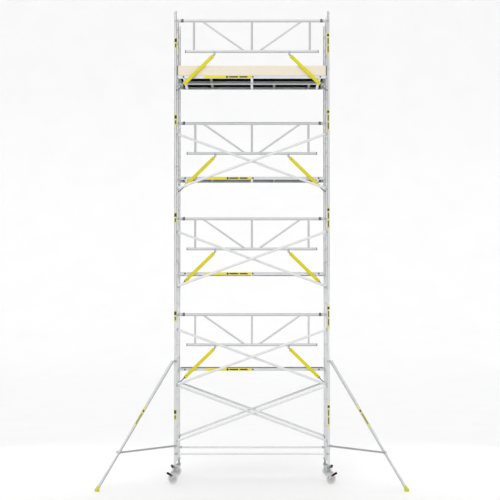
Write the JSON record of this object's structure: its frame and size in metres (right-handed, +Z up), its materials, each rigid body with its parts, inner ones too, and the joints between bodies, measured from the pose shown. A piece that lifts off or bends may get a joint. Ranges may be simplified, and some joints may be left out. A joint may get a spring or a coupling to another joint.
{
  "type": "rolling scaffold tower",
  "caption": "Tall rolling aluminium access tower: stacked ladder frames, hook-on platforms with trapdoors, side guardrails, cross braces, two outriggers and braked castors.",
  "frame": {"origin": "ground level, at the middle of the bounding box of the whole tower with its stabilisers out", "axes": "+X along the tower, to the right seen from the side with the stabilisers; +Y away from that side; +Z up"},
  "size_m": [5.9812, 2.4792, 9.4397],
  "materials": {
    "aluminium": "mill-finish drawn tube, satin",
    "brace_aluminium": "mill-finish drawn tube, slightly paler",
    "yellow_tube": "yellow powder coat on the tube, bare steel hook",
    "deck": "dark film-faced plywood in an aluminium edge frame",
    "birch": "clear-sealed birch plywood",
    "grey_steel": "zinc-grey steel",
    "pale_tyre": "off-white moulded polymer tread",
    "black_plastic": "black moulded pedal"
  },
  "bodies": {
    "tower": {"frame_left_1": "aluminium", "frame_left_2": "aluminium", "frame_left_3": "aluminium", "frame_left_4": "aluminium", "frame_left_top": "aluminium", "frame_right_1": "aluminium", "frame_right_2": "aluminium", "frame_right_3": "aluminium", "frame_right_4": "aluminium", "frame_right_top": "aluminium", "platform_1": "deck", "platform_2": "deck", "platform_3": "deck", "platform_4": "deck", "platform_4_near": "deck", "toe_board": "birch", "guardrail_1": "aluminium", "guardrail_2": "aluminium", "guardrail_3": "aluminium", "guardrail_4": "aluminium", "base_brace_near_rising_left": "brace_aluminium", "base_brace_near_rising_right": "brace_aluminium", "base_brace_far_rising_left": "brace_aluminium", "base_brace_far_rising_right": "brace_aluminium", "brace_1_rising_left": "brace_aluminium", "brace_1_rising_right": "brace_aluminium", "brace_2_rising_left": "brace_aluminium", "brace_2_rising_right": "brace_aluminium", "brace_3_rising_left": "brace_aluminium", "brace_3_rising_right": "brace_aluminium", "base_rail_near": "brace_aluminium", "base_rail_far": "brace_aluminium"},
    "trapdoor_1": {"trapdoor_1": "deck"},
    "trapdoor_2": {"trapdoor_2": "deck"},
    "trapdoor_3": {"trapdoor_3": "deck"},
    "trapdoor_4": {"trapdoor_4": "deck"},
    "strut_1_left": {"guardrail_strut_1_left": "yellow_tube"},
    "strut_1_right": {"guardrail_strut_1_right": "yellow_tube"},
    "strut_2_left": {"guardrail_strut_2_left": "yellow_tube"},
    "strut_2_right": {"guardrail_strut_2_right": "yellow_tube"},
    "strut_3_left": {"guardrail_strut_3_left": "yellow_tube"},
    "strut_3_right": {"guardrail_strut_3_right": "yellow_tube"},
    "strut_4_left": {"guardrail_strut_4_left": "yellow_tube"},
    "strut_4_right": {"guardrail_strut_4_right": "yellow_tube"},
    "stabiliser_left": {"stabiliser_tube_left": "aluminium", "stabiliser_strut_left": "grey_steel"},
    "stabiliser_right": {"stabiliser_tube_right": "aluminium", "stabiliser_strut_right": "grey_steel"},
    "castor_near_left": {"castor_fork_near_left": "grey_steel"},
    "wheel_near_left": {"castor_wheel_near_left": "pale_tyre"},
    "pedal_near_left": {"brake_pedal_near_left": "black_plastic"},
    "castor_far_left": {"castor_fork_far_left": "grey_steel"},
    "wheel_far_left": {"castor_wheel_far_left": "pale_tyre"},
    "pedal_far_left": {"brake_pedal_far_left": "black_plastic"},
    "castor_near_right": {"castor_fork_near_right": "grey_steel"},
    "wheel_near_right": {"castor_wheel_near_right": "pale_tyre"},
    "pedal_near_right": {"brake_pedal_near_right": "black_plastic"},
    "castor_far_right": {"castor_fork_far_right": "grey_steel"},
    "wheel_far_right": {"castor_wheel_far_right": "pale_tyre"},
    "pedal_far_right": {"brake_pedal_far_right": "black_plastic"}
  },
  "joints": [
    {"name": "trapdoor_1_lift", "type": "hinge", "parent": "tower", "child": "trapdoor_1", "pos_m": [0.82, 1.11861, 2.27], "axis": [-1, 0, 0], "range_deg": [0, 95]},
    {"name": "trapdoor_2_lift", "type": "hinge", "parent": "tower", "child": "trapdoor_2", "pos_m": [0.82, 1.11861, 4.23], "axis": [-1, 0, 0], "range_deg": [0, 95]},
    {"name": "trapdoor_3_lift", "type": "hinge", "parent": "tower", "child": "trapdoor_3", "pos_m": [0.82, 1.11861, 6.19], "axis": [-1, 0, 0], "range_deg": [0, 95]},
    {"name": "trapdoor_4_lift", "type": "hinge", "parent": "tower", "child": "trapdoor_4", "pos_m": [0.82, 1.11861, 8.15], "axis": [-1, 0, 0], "range_deg": [0, 95]},
    {"name": "strut_1_left_fold", "type": "hinge", "parent": "tower", "child": "strut_1_left", "pos_m": [-0.75, 0.54661, 2.685], "axis": [0, -1, 0], "range_deg": [0, 80]},
    {"name": "strut_1_right_fold", "type": "hinge", "parent": "tower", "child": "strut_1_right", "pos_m": [0.75, 0.54661, 2.685], "axis": [0, 1, 0], "range_deg": [0, 80]},
    {"name": "strut_2_left_fold", "type": "hinge", "parent": "tower", "child": "strut_2_left", "pos_m": [-0.75, 0.54661, 4.645], "axis": [0, -1, 0], "range_deg": [0, 80]},
    {"name": "strut_2_right_fold", "type": "hinge", "parent": "tower", "child": "strut_2_right", "pos_m": [0.75, 0.54661, 4.645], "axis": [0, 1, 0], "range_deg": [0, 80]},
    {"name": "strut_3_left_fold", "type": "hinge", "parent": "tower", "child": "strut_3_left", "pos_m": [-0.75, 0.54661, 6.605], "axis": [0, -1, 0], "range_deg": [0, 80]},
    {"name": "strut_3_right_fold", "type": "hinge", "parent": "tower", "child": "strut_3_right", "pos_m": [0.75, 0.54661, 6.605], "axis": [0, 1, 0], "range_deg": [0, 80]},
    {"name": "strut_4_left_fold", "type": "hinge", "parent": "tower", "child": "strut_4_left", "pos_m": [-0.75, -0.10339, 8.565], "axis": [0, -1, 0], "range_deg": [0, 80]},
    {"name": "strut_4_right_fold", "type": "hinge", "parent": "tower", "child": "strut_4_right", "pos_m": [0.75, -0.10339, 8.565], "axis": [0, 1, 0], "range_deg": [0, 80]},
    {"name": "stabiliser_left_swing", "type": "hinge", "parent": "tower", "child": "stabiliser_left", "pos_m": [-1.525, -0.10339, 2.43], "axis": [0, 0, -1], "range_deg": [-50, 38]},
    {"name": "stabiliser_right_swing", "type": "hinge", "parent": "tower", "child": "stabiliser_right", "pos_m": [1.525, -0.10339, 2.43], "axis": [0, 0, 1], "range_deg": [-50, 38]},
    {"name": "castor_near_left_swivel", "type": "hinge", "parent": "tower", "child": "castor_near_left", "pos_m": [-1.525, -0.10339, 0.3], "axis": [0, 0, 1], "continuous": true},
    {"name": "wheel_near_left_roll", "type": "hinge", "parent": "castor_near_left", "child": "wheel_near_left", "pos_m": [-1.57, -0.10339, 0.1], "axis": [0, 1, 0], "continuous": true},
    {"name": "pedal_near_left_press", "type": "hinge", "parent": "castor_near_left", "child": "pedal_near_left", "pos_m": [-1.585, -0.10339, 0.165], "axis": [0, -1, 0], "range_deg": [0, 14], "stiffness_Nm_per_rad": 1.5},
    {"name": "castor_far_left_swivel", "type": "hinge", "parent": "tower", "child": "castor_far_left", "pos_m": [-1.525, 1.19661, 0.3], "axis": [0, 0, 1], "continuous": true},
    {"name": "wheel_far_left_roll", "type": "hinge", "parent": "castor_far_left", "child": "wheel_far_left", "pos_m": [-1.57, 1.19661, 0.1], "axis": [0, 1, 0], "continuous": true},
    {"name": "pedal_far_left_press", "type": "hinge", "parent": "castor_far_left", "child": "pedal_far_left", "pos_m": [-1.585, 1.19661, 0.165], "axis": [0, -1, 0], "range_deg": [0, 14], "stiffness_Nm_per_rad": 1.5},
    {"name": "castor_near_right_swivel", "type": "hinge", "parent": "tower", "child": "castor_near_right", "pos_m": [1.525, -0.10339, 0.3], "axis": [0, 0, 1], "continuous": true},
    {"name": "wheel_near_right_roll", "type": "hinge", "parent": "castor_near_right", "child": "wheel_near_right", "pos_m": [1.57, -0.10339, 0.1], "axis": [0, 1, 0], "continuous": true},
    {"name": "pedal_near_right_press", "type": "hinge", "parent": "castor_near_right", "child": "pedal_near_right", "pos_m": [1.585, -0.10339, 0.165], "axis": [0, 1, 0], "range_deg": [0, 14], "stiffness_Nm_per_rad": 1.5},
    {"name": "castor_far_right_swivel", "type": "hinge", "parent": "tower", "child": "castor_far_right", "pos_m": [1.525, 1.19661, 0.3], "axis": [0, 0, 1], "continuous": true},
    {"name": "wheel_far_right_roll", "type": "hinge", "parent": "castor_far_right", "child": "wheel_far_right", "pos_m": [1.57, 1.19661, 0.1], "axis": [0, 1, 0], "continuous": true},
    {"name": "pedal_far_right_press", "type": "hinge", "parent": "castor_far_right", "child": "pedal_far_right", "pos_m": [1.585, 1.19661, 0.165], "axis": [0, 1, 0], "range_deg": [0, 14], "stiffness_Nm_per_rad": 1.5}
  ]
}
